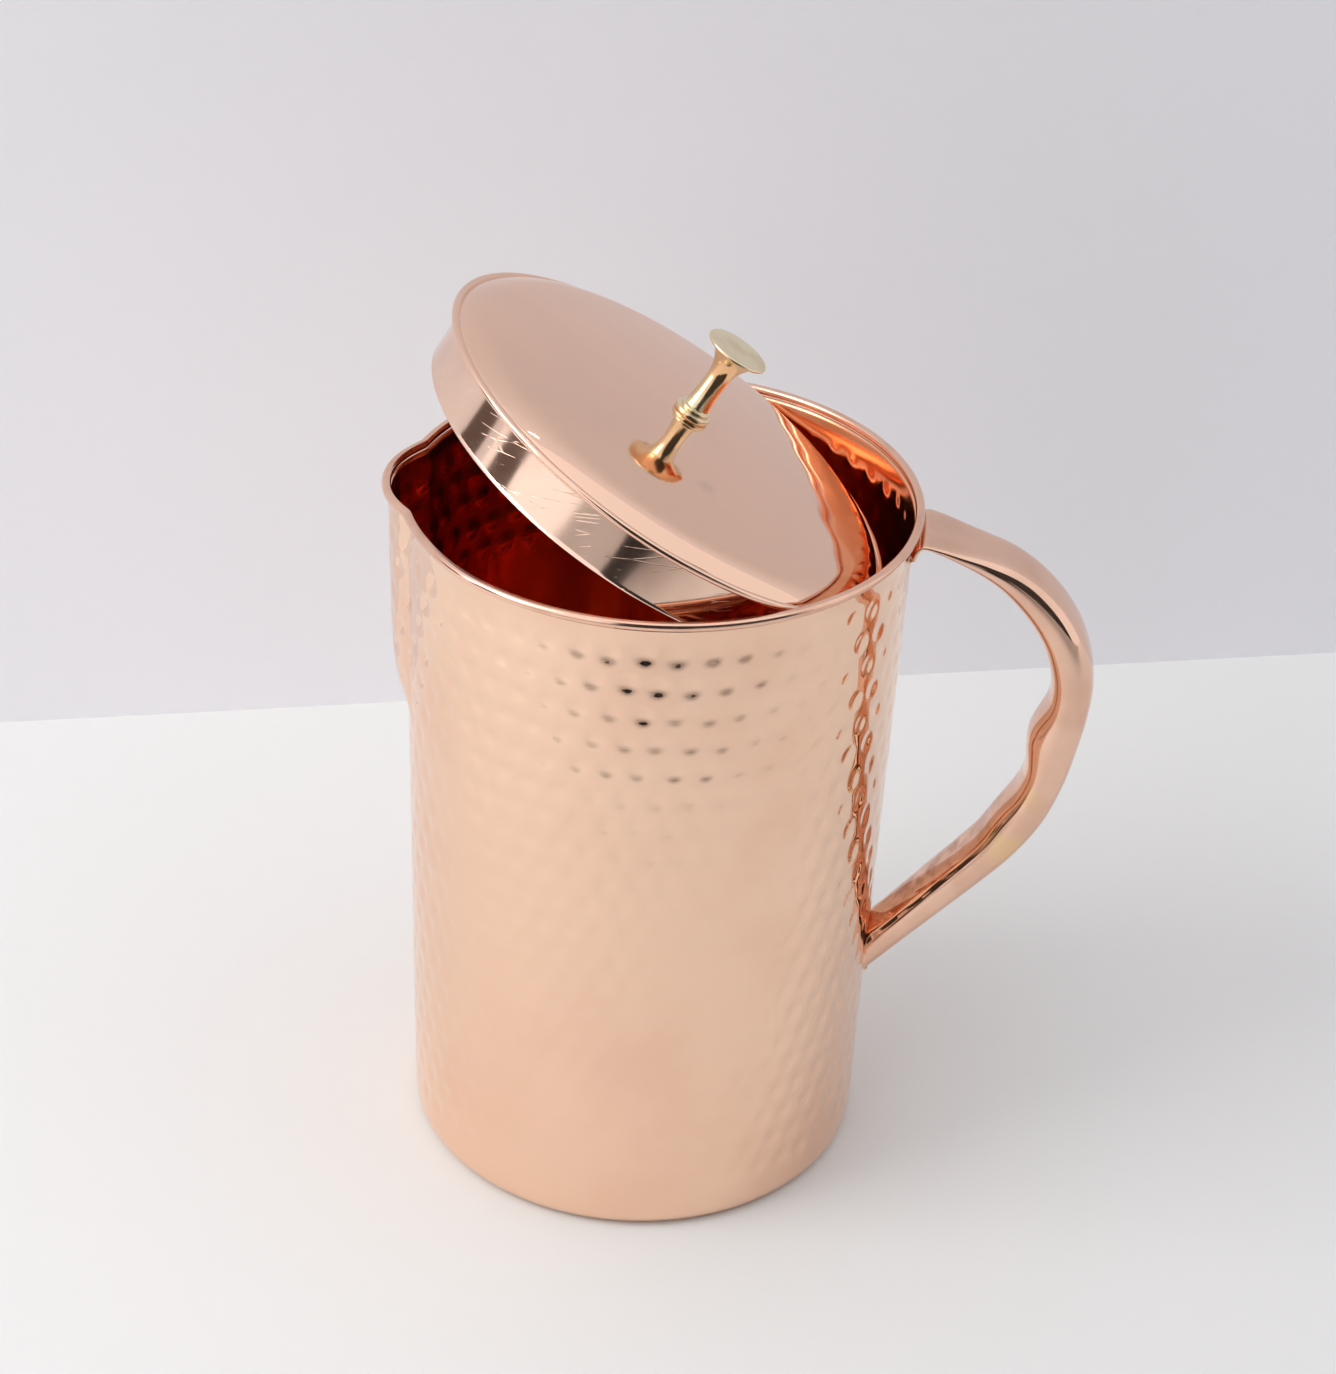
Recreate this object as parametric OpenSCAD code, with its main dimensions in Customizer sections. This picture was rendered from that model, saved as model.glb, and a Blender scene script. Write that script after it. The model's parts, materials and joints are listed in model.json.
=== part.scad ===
// Hammered copper water jug with a drop-in lid and a turned brass knob.
// Frame: origin at the middle of the base, +Z up, handle towards +X, spout towards -X.
// The lid is drawn level in the mouth and then leaned about its two rests on the rim.

/* [Body] */
// Height from the table to the top of the rolled rim
jug_h = 180; // [160:1:220]
// Outer radius of the wall just above the base corner
foot_r = 57.5; // [50:0.5:59]
// Outer radius of the wall below the plain neck band
neck_r = 60.6; // [59.5:0.1:61]
// Inner radius of the mouth at the rim
mouth_r = 60.5; // [60.5:0.1:62]
// Thickness of the copper sheet
sheet_t = 0.8; // [0.6:0.1:1.2]
// Radius of the rounded corner under the wall
corner_r = 4; // [2:0.5:8]
// Width of the sheet turned in under the base
turn_in = 4; // [3:0.5:8]

/* [Rim] */
// Outer radius of the rolled edge
roll_r = 1.15; // [1:0.05:1.5]
// Radius of the stiffening wire inside the rolled edge
wire_r = 0.45; // [0.3:0.05:0.5]

/* [Spout] */
// Radius of the spout's outer face, seen from above
spout_r = 22; // [18:1:24]
// Furthest reach of the spout wall from the jug's axis
spout_reach = 64.8; // [63:0.1:67]
// Height at which the spout fades into the wall
spout_foot = 124; // [110:1:140]
// How far the rim is drawn in beside the spout
pinch_depth = 0.8; // [0:0.1:0.9]
// Turn of the spout off the handle's line
spout_turn = 4; // [-10:1:10]

/* [Handle] */
// Furthest reach of the handle from the jug's axis
handle_reach = 107; // [95:1:120]
// Width of the tube across the grip
grip_w = 17; // [14:0.5:20]
// Width of the flattened strap at the rim
strap_w = 19.5; // [16:0.5:22]
// Depth of the finger hollows on the inside of the grip
finger_depth = 2.4; // [0:0.2:3]
// Wall of the handle tube
tube_t = 0.9; // [0.7:0.1:1.5]

/* [Lid] */
// Outer radius of the bead round the lid
lid_r = 60.6; // [60:0.1:60.8]
// Outer radius of the skirt that drops into the mouth
skirt_r = 57.8; // [57:0.1:57.9]
// Height of the skirt below the bead
skirt_h = 14; // [8:0.5:14]
// Radius of the bead where lid top and skirt are folded together
bead_r = 0.9; // [0.7:0.05:1.1]
// Rise of the lid's dome above the bead
dome_rise = 8; // [6:0.5:10]
// Share of that rise taken up by the rounded shoulder at the dome's edge
shoulder_rise = 3.2; // [2.5:0.1:4]
// Width of the rounded shoulder
shoulder_w = 8; // [6:0.5:12]
// Lean of the lid from level
lid_tilt = 31.3; // [0:0.1:31.3]
// Direction of the lid's lean, turned off the handle's line
lid_turn = 10; // [-20:1:20]

/* [Knob] */
// Diameter of the knob's disc
disc_d = 15.6; // [12:0.2:18]
// Diameter of the knob's foot
foot_d = 9.2; // [8:0.2:12]
// Diameter of the knob's waist
waist_d = 5.4; // [4.8:0.2:7]
// Height of the knob above the lid
knob_h = 20; // [16:0.5:26]
// Diameter of the screw that holds the knob
screw_d = 3; // [2.5:0.5:4]

/* [Hidden] */
$fn = 120;
copper = "#e0a582";
dark_copper = "#c98a66";
brass = "#cdb676";
steel = "#b9bcc0";

// ---- Body ----
band_h = 7;                                  // height of the flared plain band under the rim
roll_z = jug_h - roll_r;                     // height of the rolled edge's centre line
roll_path_r = mouth_r + roll_r;              // its radius, with the roll's inside flush with the mouth
roll_hole_r = wire_r + 0.05;                 // bore of the rolled edge, with room for the wire
wall_top = roll_z - roll_r - 0.02;           // the wall ends just under the bead
neck_z = jug_h - band_h;                     // where the plain band begins
lap = 0.05;                                  // how far the wall's inner face stands outside the mouth circle

spout_centre = spout_reach - spout_r;        // distance of the spout's own axis from the jug's
spout_lean = 0.7;                            // the spout narrows towards its foot by this angle
spout_ball_z = spout_foot + 9;               // the spout's rounded lower end starts here

// Plan of the rolled edge: round the mouth, pinched in a little beside the spout, and out round it.
// The angle is measured from the middle of the spout.
pinch_out = 28;                              // the pinched stretch is full up to this angle
pinch_end = 50;                              // and has gone by this one
nose_half = 17;                              // half angle taken up by the spout
function ease(u) = let (c = max(0, min(1, u))) c * c * (3 - 2 * c);
function pinched(a) = pinch_depth * (1 - ease((abs(a) - pinch_out) / (pinch_end - pinch_out)));
function nosed(a) = abs(a) < nose_half
    ? (spout_reach - sheet_t - mouth_r + pinch_depth) * pow(1 - pow(abs(a) / nose_half, 2.2), 1.2) : 0;
function edge_r(a) = mouth_r + roll_r - pinched(a) + nosed(a);
fine_step = 2.5;
edge_angles = concat([for (a = [-50:fine_step:50]) a], [for (a = [56:6:304]) a]);

function wall_r(z) = foot_r + (neck_r - foot_r) * z / neck_z;

function corner_points(r_out, r_round, z_low) =
    [for (i = [0:6]) let (a = 90 * i / 6)
        [r_out - r_round + r_round * sin(a), z_low + r_round - r_round * cos(a)]];

module body_outside() {
    rotate_extrude()
        polygon(concat([[0, 0]], corner_points(wall_r(corner_r), corner_r, 0),
                       [[neck_r, neck_z], [neck_r + 0.25, neck_z + 3], [mouth_r + sheet_t, wall_top],
                        [0, wall_top]]));
}

module body_inside() {
    rotate_extrude()
        polygon(concat([[0, sheet_t]],
                       corner_points(wall_r(corner_r) - sheet_t, corner_r - sheet_t, sheet_t),
                       [[neck_r - sheet_t, neck_z], [neck_r + 0.25 - sheet_t, neck_z + 3],
                        [mouth_r + lap, wall_top], [mouth_r + lap, jug_h + 1], [0, jug_h + 1]]));
}

module spout_solid(inset, top) {
    rotate([0, 0, 180 + spout_turn])
        translate([spout_centre, 0, wall_top]) rotate([0, spout_lean, 0]) {
            translate([0, 0, spout_ball_z - wall_top]) cylinder(r = spout_r - inset, h = top);
            translate([0, 0, spout_ball_z - wall_top]) sphere(r = spout_r - inset);
        }
}

// A round section carried along the whole rolled edge
module rolled_ring(r, sides) {
    count = len(edge_angles);
    points = [for (a = edge_angles)
        let (heading = a + 180 + spout_turn, plan = edge_r(a > 180 ? a - 360 : a))
        for (k = [0:sides - 1]) let (out = plan + r * cos(360 * k / sides))
            [out * cos(heading), out * sin(heading), roll_z + r * sin(360 * k / sides)]];
    faces = [for (i = [0:count - 1]) for (k = [0:sides - 1])
        let (here = i * sides, next = ((i + 1) % count) * sides, l = (k + 1) % sides)
            [here + k, here + l, next + l, next + k]];
    polyhedron(points = points, faces = faces, convexity = 6);
}

module body_shell() {
    color(copper) difference() {
        union() {
            body_outside();
            intersection() {
                spout_solid(0, 100);
                translate([0, 0, -1]) cylinder(r = 90, h = wall_top + 1);
            }
        }
        body_inside();
        spout_solid(sheet_t, 120);
        translate([0, 0, -1]) cylinder(r = wall_r(0) - corner_r - turn_in, h = 10);
    }
}

// Copper edging rolled round the wire and closed on the wall's edge
module rim_bead() {
    color(copper) difference() {
        rolled_ring(roll_r, 10);
        rolled_ring(roll_hole_r, 8);
    }
}

module rim_wire() {
    color(steel) rolled_ring(wire_r, 8);
}

// ---- Base ----
plate_r = wall_r(corner_r) - sheet_t - 0.15;
plate_lip = 6;
plate_well_r = wall_r(0) - corner_r - turn_in - 0.15;   // the middle drops flush with the turned-in edge

module base_plate() {
    color(dark_copper) difference() {
        rotate_extrude()
            polygon(concat([[0, 0], [plate_well_r, 0], [plate_well_r, sheet_t]],
                           corner_points(plate_r, corner_r - sheet_t, sheet_t),
                           [[plate_r, sheet_t + plate_lip], [0, sheet_t + plate_lip]]));
        rotate_extrude()
            polygon(concat([[0, sheet_t], [plate_well_r - sheet_t, sheet_t],
                            [plate_well_r - sheet_t, 2 * sheet_t]],
                           corner_points(plate_r - sheet_t, corner_r - 2 * sheet_t, 2 * sheet_t),
                           [[plate_r - sheet_t, 20], [0, 20]]));
    }
}

// ---- Handle ----
// Centre line of the handle in its own plane: distance from the jug's axis, height,
// width across and thickness of the tube, from the strap at the rim to the foot on the wall.
strap_z = jug_h - 4.6;
handle_stations = [
    [61.0, strap_z - 3.4, strap_w, 2.2],
    [61.9, strap_z - 0.9, strap_w, 2.2],
    [63.4, strap_z + 0.3, strap_w, 2.3],
    [67.0, strap_z - 0.6, strap_w - 0.5, 3.0],
    [72.0, strap_z - 2.5, strap_w - 1.5, 4.2],
    [78.0, strap_z - 5.0, grip_w, 6.0],
    [84.0, strap_z - 8.1, grip_w, 7.8],
    [90.0, strap_z - 13.0, grip_w, 9.2],
    [95.5, strap_z - 19.5, grip_w, 10.0],
    [99.5, strap_z - 27.0, grip_w, 10.4],
    [handle_reach - 5.2, strap_z - 36.0, grip_w, 10.4],
    [handle_reach - 5.5, strap_z - 45.0, grip_w, 10.4],
    [100.0, strap_z - 54.5, grip_w, 10.4],
    [98.0, strap_z - 64.0, grip_w, 10.4],
    [94.5, strap_z - 74.0, grip_w, 10.4],
    [89.0, strap_z - 83.5, grip_w, 10.2],
    [82.0, strap_z - 92.5, grip_w - 0.5, 9.8],
    [74.0, strap_z - 102.0, grip_w - 1, 9.4],
    [66.0, strap_z - 111.5, grip_w - 1.5, 9.0],
    [54.0, strap_z - 125.7, grip_w - 2, 8.6]
];
ring_sides = 20;
spans = len(handle_stations) - 1;
steps_per_span = 2;
ring_count = spans * steps_per_span + 1;

// Smooth curve through the stations (Catmull-Rom), read at t from 0 to spans
function station(i) = handle_stations[max(0, min(spans, i))];
function blend4(a, b, c, d, u) =
    0.5 * (2 * b + (c - a) * u + (2 * a - 5 * b + 4 * c - d) * u * u + (3 * b - a - 3 * c + d) * u * u * u);
function along(t) = let (i = min(floor(t), spans - 1))
    blend4(station(i - 1), station(i), station(i + 1), station(i + 2), t - i);
function heading(t) =
    let (a = along(max(0, t - 0.05)), b = along(min(spans, t + 0.05)), d = [b.x - a.x, b.y - a.y])
    d / norm(d);

// Two finger hollows, one above and one below a crest on the inside of the grip
grip_crest = 11.9;
function crest(t, at, half) = let (u = (t - at) / half) abs(u) < 1 ? pow(cos(90 * u), 2) : 0;
function inner_swell(t) =
    finger_depth * (crest(t, grip_crest, 1.3) + 0.35 * crest(t, grip_crest + 2.6, 1.1));

function signed_pow(v, p) = sign(v) * pow(abs(v), p);
function ring_point(t, k, inset) =
    let (s = along(t), h = heading(t), a = 360 * k / ring_sides,
         half_w = s[2] / 2 - inset, half_t = max(0.3, s[3] / 2 - inset),
         across = half_w * signed_pow(cos(a), 0.7),
         out = half_t * signed_pow(sin(a), 0.8),
         swell = sin(a) < 0 ? inner_swell(t) * pow(-sin(a), 2) : 0)
    [s.x - h.y * (out - swell), across, s.y + h.x * (out - swell)];

module swept_tube(first, last, inset) {
    ts = [for (i = [0:ring_count - 1]) let (t = i / steps_per_span) if (t >= first && t <= last) t];
    rings = len(ts);
    points = [for (t = ts) for (k = [0:ring_sides - 1]) ring_point(t, k, inset)];
    sides = [for (i = [0:rings - 2]) for (k = [0:ring_sides - 1])
        let (a = i * ring_sides + k, b = i * ring_sides + (k + 1) % ring_sides)
            [a + ring_sides, b + ring_sides, b, a]];
    start = [[for (k = [0:ring_sides - 1]) k]];
    end = [[for (k = [ring_sides - 1:-1:0]) (rings - 1) * ring_sides + k]];
    polyhedron(points = points, faces = concat(sides, start, end), convexity = 6);
}

module handle_tube() {
    color(copper) difference() {
        swept_tube(0, spans, 0);
        swept_tube(4.5, spans, tube_t);
        rotate_extrude()
            polygon([[0, 0], [wall_r(0) + 0.02, 0], [neck_r + 0.02, neck_z], [neck_r + 0.27, neck_z + 3],
                     [neck_r + 0.27, wall_top], [0, wall_top]]);
    }
}

// Brazing fillets under the strap and under the tube's foot, run along the wall
fillet = 0.9;
strap_low = strap_z - 3.8;
foot_low = 48.0;
strap_braze_angle = asin((strap_w / 2 - 1) / neck_r);
foot_braze_angle = 3;

module wall_fillet(z, half_angle) {
    rotate([0, 0, -half_angle]) rotate_extrude(angle = 2 * half_angle)
        polygon([[wall_r(z) + 0.05, z], [wall_r(z) + 0.05, z - fillet], [wall_r(z) + fillet, z]]);
}

module handle_braze() {
    color(brass) {
        wall_fillet(strap_low - 0.1, strap_braze_angle);
        wall_fillet(foot_low - 0.1, foot_braze_angle);
    }
}

// ---- Lid ----
// Everything below is drawn with the lid level, its bead's centre line at height 0.
rest_gap = 0.3;
closed_shift = 0.2;                          // the level lid sits this far towards the spout
closed_z = jug_h + bead_r + rest_gap;        // height of the bead's centre line with the lid level
pivot_x = 21.95;                             // line through the lid's two rests on the rim
pivot_z = closed_z + 1.84;
bead_path_r = lid_r - bead_r;
dome_edge_r = bead_path_r - 0.3;
crown_rise = dome_rise - shoulder_rise;
crown_radius = (dome_edge_r * dome_edge_r + crown_rise * crown_rise) / (2 * crown_rise);
crown_end = dome_edge_r - shoulder_w;        // the shoulder begins at this radius
dome_radii = concat([for (i = [0:7]) crown_end * i / 8], [for (i = [0:8]) crown_end + shoulder_w * i / 8]);
skirt_t = 0.7;

module on_lid() {
    rotate([0, 0, lid_turn]) translate([pivot_x, 0, pivot_z]) rotate([0, lid_tilt, 0])
        translate([-closed_shift - pivot_x, 0, closed_z - pivot_z]) rotate([0, 0, -lid_turn]) children();
}

function shoulder_z(r) = shoulder_rise * (1 - pow(max(0, r - crown_end) / shoulder_w, 2));
function dome_z(r) = crown_rise - crown_radius + sqrt(crown_radius * crown_radius - r * r) + shoulder_z(r);
function dome_curve(lower) = [for (r = dome_radii) [r, dome_z(r) - lower]];
function reversed(list) = [for (i = [len(list) - 1:-1:0]) list[i]];

module lid_top() {
    color(copper) on_lid() difference() {
        union() {
            rotate_extrude() polygon(concat(dome_curve(0), reversed(dome_curve(sheet_t))));
            rotate_extrude() translate([bead_path_r, 0]) circle(r = bead_r, $fn = 24);
        }
        translate([0, 0, -5]) cylinder(d = screw_d + 0.1, h = 30, $fn = 32);
    }
}

module lid_skirt() {
    seam_w = 4;
    skirt_top = dome_z(skirt_r) - sheet_t - 0.04;
    color(copper) on_lid() {
        difference() {
            translate([0, 0, -skirt_h]) cylinder(r = skirt_r, h = skirt_h + skirt_top);
            translate([0, 0, -skirt_h - 1]) cylinder(r = skirt_r - skirt_t, h = skirt_h + 2);
        }
        rotate([0, 0, -90]) intersection() {
            difference() {
                translate([0, 0, -skirt_h]) cylinder(r = skirt_r - skirt_t + 0.1, h = skirt_h - 0.8);
                translate([0, 0, -skirt_h - 1]) cylinder(r = skirt_r - 2 * skirt_t, h = skirt_h + 2);
            }
            translate([50, -seam_w / 2, -skirt_h - 1]) cube([20, seam_w, skirt_h + 2]);
        }
    }
}

// ---- Knob ----
disc_t = 1.2;
foot_t = 1.4;
collar_d = foot_d - 1.6;
collar_t = 1.1;
knob_base = dome_rise;
thread_depth = 8;

function stem_r(u) = waist_d / 2 + (u < 0.35
    ? 0.5 * pow((0.35 - u) / 0.35, 2)
    : (disc_d / 2 - 1.3 - waist_d / 2) * pow((u - 0.35) / 0.65, 3.2));

module knob() {
    stem_low = foot_t + collar_t;
    stem_high = knob_h - disc_t;
    stem_steps = 14;
    color(brass) on_lid() translate([0, 0, knob_base]) difference() {
        rotate_extrude($fn = 64) polygon(concat(
            [[0, 0], [foot_d / 2 - 0.3, 0], [foot_d / 2, 0.3], [foot_d / 2, foot_t - 0.3],
             [foot_d / 2 - 0.3, foot_t],
             [collar_d / 2, foot_t], [collar_d / 2, stem_low - 0.2], [collar_d / 2 - 0.3, stem_low]],
            [for (i = [0:stem_steps]) let (u = i / stem_steps)
                [stem_r(u), stem_low + u * (stem_high - stem_low)]],
            [[disc_d / 2, stem_high + 0.35], [disc_d / 2, stem_high + 0.8],
             [disc_d / 2 - 0.8, knob_h - 0.15], [0, knob_h]]));
        translate([0, 0, -1]) cylinder(d = screw_d, h = thread_depth + 1, $fn = 32);
    }
}

washer_d = 9;
washer_t = 0.8;
under_dome = dome_rise - sheet_t;

module knob_washer() {
    color(steel) on_lid() translate([0, 0, under_dome - 0.1 - washer_t]) difference() {
        cylinder(d = washer_d, h = washer_t, $fn = 48);
        translate([0, 0, -1]) cylinder(d = screw_d + 0.2, h = washer_t + 2, $fn = 32);
    }
}

module knob_screw() {
    head_d = 6;
    head_t = 2.2;
    head_top = under_dome - 0.1 - washer_t;
    color(brass) on_lid() difference() {
        union() {
            translate([0, 0, head_top - head_t]) cylinder(d = head_d, h = head_t, $fn = 40);
            translate([0, 0, head_top - 0.1])
                cylinder(d = screw_d - 0.02, h = knob_base - head_top + thread_depth - 0.6, $fn = 32);
        }
        translate([-head_d, -0.5, head_top - head_t - 1]) cube([2 * head_d, 1, 1.9]);
    }
}

body_shell();
rim_bead();
rim_wire();
base_plate();
handle_tube();
handle_braze();
lid_top();
lid_skirt();
knob();
knob_washer();
knob_screw();
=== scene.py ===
# %% [markdown]
# # A hammered copper water jug and its loose lid
# The jug is a tall sheet copper vessel: a wall with a spout pulled out of it, an edge rolled over a wire,
# a disc brazed into the foot and a hollow handle with finger hollows. The lid is a shallow dome folded
# over a ring, with a turned brass knob, and it leans in the mouth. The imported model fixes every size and
# place. What is made here is what plain sheet can't show: the hammer marks, the smooth swept edge and
# handle, the hand-worked unevenness and the finishes.

# %% Load the frame and keep its box
import json
import math

import bpy
import numpy as np
from mathutils import Matrix, Vector


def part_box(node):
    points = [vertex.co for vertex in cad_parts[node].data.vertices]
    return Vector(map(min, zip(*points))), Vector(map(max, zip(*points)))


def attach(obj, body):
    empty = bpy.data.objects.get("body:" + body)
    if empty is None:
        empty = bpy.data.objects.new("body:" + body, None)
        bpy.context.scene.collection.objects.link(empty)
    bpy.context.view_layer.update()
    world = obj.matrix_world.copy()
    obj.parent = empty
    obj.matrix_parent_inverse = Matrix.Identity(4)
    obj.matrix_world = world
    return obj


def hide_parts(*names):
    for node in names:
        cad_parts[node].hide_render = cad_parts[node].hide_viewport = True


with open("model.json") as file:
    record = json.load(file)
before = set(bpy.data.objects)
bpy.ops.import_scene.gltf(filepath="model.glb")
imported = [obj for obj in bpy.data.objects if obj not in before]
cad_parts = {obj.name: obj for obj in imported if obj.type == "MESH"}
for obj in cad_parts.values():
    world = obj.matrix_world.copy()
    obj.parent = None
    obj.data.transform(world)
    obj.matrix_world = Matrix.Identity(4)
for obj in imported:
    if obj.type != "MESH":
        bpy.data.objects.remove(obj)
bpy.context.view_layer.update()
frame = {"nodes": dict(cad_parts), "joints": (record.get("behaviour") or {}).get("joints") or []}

# %% [markdown]
# ## Sizes taken from the frame
# A maker starts from the mouth and the height, because the lid has to drop into one and the spout has to
# clear the other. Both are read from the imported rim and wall, so the visible jug can't drift from the CAD.

# %% Sizes of the wall and the rim
MM = 0.001
wall_low, wall_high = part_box("body_shell")
rim_low, rim_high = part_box("rim_bead")
WALL_TOP = wall_high.z
RIM_Z = (rim_low.z + rim_high.z) / 2
ROLL_R = 1.15 * MM                       # radius of the rolled edge
MOUTH_R = rim_high.y - 2 * ROLL_R        # clear radius inside the rolled edge
SHEET = 0.8 * MM                         # thickness of the copper sheet
FOOT_R = 57.5 * MM                       # the wall widens from here at the foot
NECK_R = 60.6 * MM                       # to here under the plain band
NECK_Z = WALL_TOP - 4.7 * MM
CORNER_R = 4 * MM                        # rounded corner under the wall
TURN_IN = 4 * MM                         # sheet turned in under the base
SPOUT_AT = math.radians(184)             # direction of the spout, seen from above
print(f"mouth {MOUTH_R * 2000:.1f} mm wide, wall {WALL_TOP * 1000:.1f} mm tall")

# %% [markdown]
# ## Helpers for sheet metal
# Everything on this jug is a ring, a turned shape or a swept tube. All three are a grid of points whose
# columns run round and close on themselves, so one function turns such a grid into a mesh. Its winding is
# checked by the signed volume, because faces that point inwards spoil reflections and any later printing.

# %% Turn rows of rings into a closed mesh
def signed_volume(points, faces):
    """Volume enclosed by quads, negative where they face inwards."""
    a, b, c, d = (points[faces[:, k]] for k in range(4))
    both = np.einsum("ij,ij->i", a, np.cross(b, c)) + np.einsum("ij,ij->i", a, np.cross(c, d))
    return both.sum() / 6


def ring_mesh(name, rings, closed=False):
    """A mesh from rings[row, column, xyz]. Rows are joined end to end if closed, and capped if not."""
    rows, columns = rings.shape[:2]
    last = rows if closed else rows - 1
    row, column = np.meshgrid(np.arange(last), np.arange(columns), indexing="ij")
    below, above = row, (row + 1) % rows
    beside = (column + 1) % columns
    quads = np.stack([below * columns + column, below * columns + beside,
                      above * columns + beside, above * columns + column], -1).reshape(-1, 4)
    points = rings.reshape(-1, 3)
    if signed_volume(points, quads) < 0:
        quads = quads[:, ::-1]
    faces = quads.tolist()
    verts = points.tolist()
    if not closed:
        for edge_row, outward in ((0, -1), (rows - 1, 1)):
            middle = len(verts)
            verts.append(rings[edge_row].mean(0).tolist())
            for k in range(columns):
                here, there = edge_row * columns + k, edge_row * columns + (k + 1) % columns
                faces.append([middle, here, there] if (outward > 0) == (quads[0][1] > quads[0][0])
                             else [middle, there, here])
    mesh = bpy.data.meshes.new(name)
    mesh.from_pydata(verts, [], faces)
    mesh.shade_smooth()
    mesh.update()
    piece = bpy.data.objects.new(name, mesh)
    bpy.context.scene.collection.objects.link(piece)
    print(f"{name}: {len(mesh.vertices)} points, {len(mesh.polygons)} faces")
    return piece


def smooth_step(u):
    u = np.clip(u, 0, 1)
    return u * u * (3 - 2 * u)


# %% [markdown]
# ## The plan of the mouth
# A spout like this is made on a stake: the edge is hammered out at one place and pressed in on both sides
# of it, so seen from above the edge draws in a little and then runs out to a narrow nose. One function of
# the angle gives that plan, and both the wall and the rolled edge follow it, so they can't part.

# %% Plan of the mouth, and how far the spout stands out
NOSE_HALF = math.radians(17)             # half angle of the nose
PINCH = 0.8 * MM                         # how far the edge draws in beside it
PINCH_FULL, PINCH_END = math.radians(28), math.radians(50)
NOSE_REACH = -wall_low.x / math.cos(SPOUT_AT - math.pi) - 0.08 * MM
SPOUT_FOOT = 121.5 * MM                  # height at which the spout fades into the wall
SPOUT_LEAN = 0.02                        # the spout draws back by this much per unit of depth
SPOUT_SWELL = 5.5 * MM                   # depth over which its blunt lower end swells out


def from_spout(angle):
    """Angle measured from the middle of the spout, from -pi to pi."""
    return (angle - SPOUT_AT + math.pi) % (2 * math.pi) - math.pi


def pinch_share(off):
    return 1 - smooth_step((np.abs(off) - PINCH_FULL) / (PINCH_END - PINCH_FULL))


def nose_share(off):
    return np.clip(1 - (np.abs(off) / NOSE_HALF) ** 2.2, 0, 1) ** 1.2


def edge_plan(angle):
    """Radius of the mouth's edge in the direction of the angle."""
    off = from_spout(angle)
    stand = NOSE_REACH - SHEET - MOUTH_R + PINCH
    return MOUTH_R - PINCH * pinch_share(off) + stand * nose_share(off)


def plain_wall(z):
    """Outer radius of the wall without the spout: a slight cone and a flared band at the top."""
    cone = FOOT_R + (NECK_R - FOOT_R) * np.minimum(z, NECK_Z) / NECK_Z
    flare = np.clip((z - NECK_Z) / (WALL_TOP - NECK_Z), 0, 1) ** 1.4
    return cone + (MOUTH_R + SHEET - NECK_R) * flare


def wall_outside(angle, z):
    """Outer radius of the finished wall, spout included."""
    off = from_spout(angle)
    drawn_in = PINCH * smooth_step((z - WALL_TOP + 14 * MM) / (14 * MM))
    reach = NOSE_REACH - SPOUT_LEAN * (WALL_TOP - z)
    swell = 1 - np.exp(-np.maximum(z - SPOUT_FOOT, 0) / SPOUT_SWELL)
    stand = (reach - plain_wall(z) + drawn_in) * swell
    return plain_wall(z) - drawn_in * pinch_share(off) + stand * nose_share(off)


print("spout reaches", round(float(wall_outside(SPOUT_AT, WALL_TOP)) * 1000, 1), "mm")

# %% [markdown]
# ## The wall
# The real wall is one sheet, bent to a tube and brazed, then turned in under the base. Its section is
# walked once round: out under the foot, up the outside, over the edge and down the inside. The rows are
# closest near the mouth, where the hammer marks are sharpest, and widest low on the inside, which keeps
# the whole sheet under the size at which a printer's file gets thinned.

# %% Rows of the wall's closed section
COLUMNS = 456
around = np.arange(COLUMNS) * 2 * math.pi / COLUMNS
foot_out = FOOT_R + (NECK_R - FOOT_R) * CORNER_R / NECK_Z
flange_in = FOOT_R - CORNER_R - TURN_IN


def level_row(radius, z):
    return np.stack([radius * np.cos(around), radius * np.sin(around), np.full(COLUMNS, z)], -1)


def corner_rows(round_r, degrees):
    """The rounded corner, from straight down at 0 degrees to level at 90."""
    return [level_row(np.full(COLUMNS, foot_out - CORNER_R + round_r * math.sin(math.radians(d))),
                      CORNER_R - round_r * math.cos(math.radians(d))) for d in degrees]


def flange_rows(z, radii):
    return [level_row(np.full(COLUMNS, r), z) for r in radii]


outside_z = np.concatenate([np.linspace(CORNER_R, 130 * MM, 84), np.linspace(130.8 * MM, WALL_TOP, 56)])
inside_z = np.concatenate([np.linspace(WALL_TOP, 136 * MM, 42), np.linspace(133 * MM, CORNER_R, 20)])
flange_radii = np.linspace(flange_in, foot_out - CORNER_R, 3)
outer_rows = (flange_rows(0, flange_radii) + corner_rows(CORNER_R, (18, 36, 54, 72))
              + [level_row(wall_outside(around, z), z) for z in outside_z])
inner_rows = ([level_row(wall_outside(around, WALL_TOP) - SHEET / 2, WALL_TOP)]
              + [level_row(wall_outside(around, z) - SHEET, z) for z in inside_z]
              + corner_rows(CORNER_R - SHEET, (72, 54, 36, 18)) + flange_rows(SHEET, flange_radii[::-1]))
plain_sheet = ring_mesh("plain_sheet", np.stack(outer_rows + inner_rows), closed=True)
inside = plain_sheet.data.attributes.new("inside_face", "BOOLEAN", "FACE")
first_inner = len(outer_rows) * COLUMNS
inside.data.foreach_set("value", [min(p.vertices) >= first_inner for p in plain_sheet.data.polygons])

# %% [markdown]
# ## Node helpers
# Trees are easier to read when adding a node and feeding its sockets is one call. `feed` links a socket
# to a socket and stores anything else as the value. The same two helpers serve shader trees later.

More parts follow.
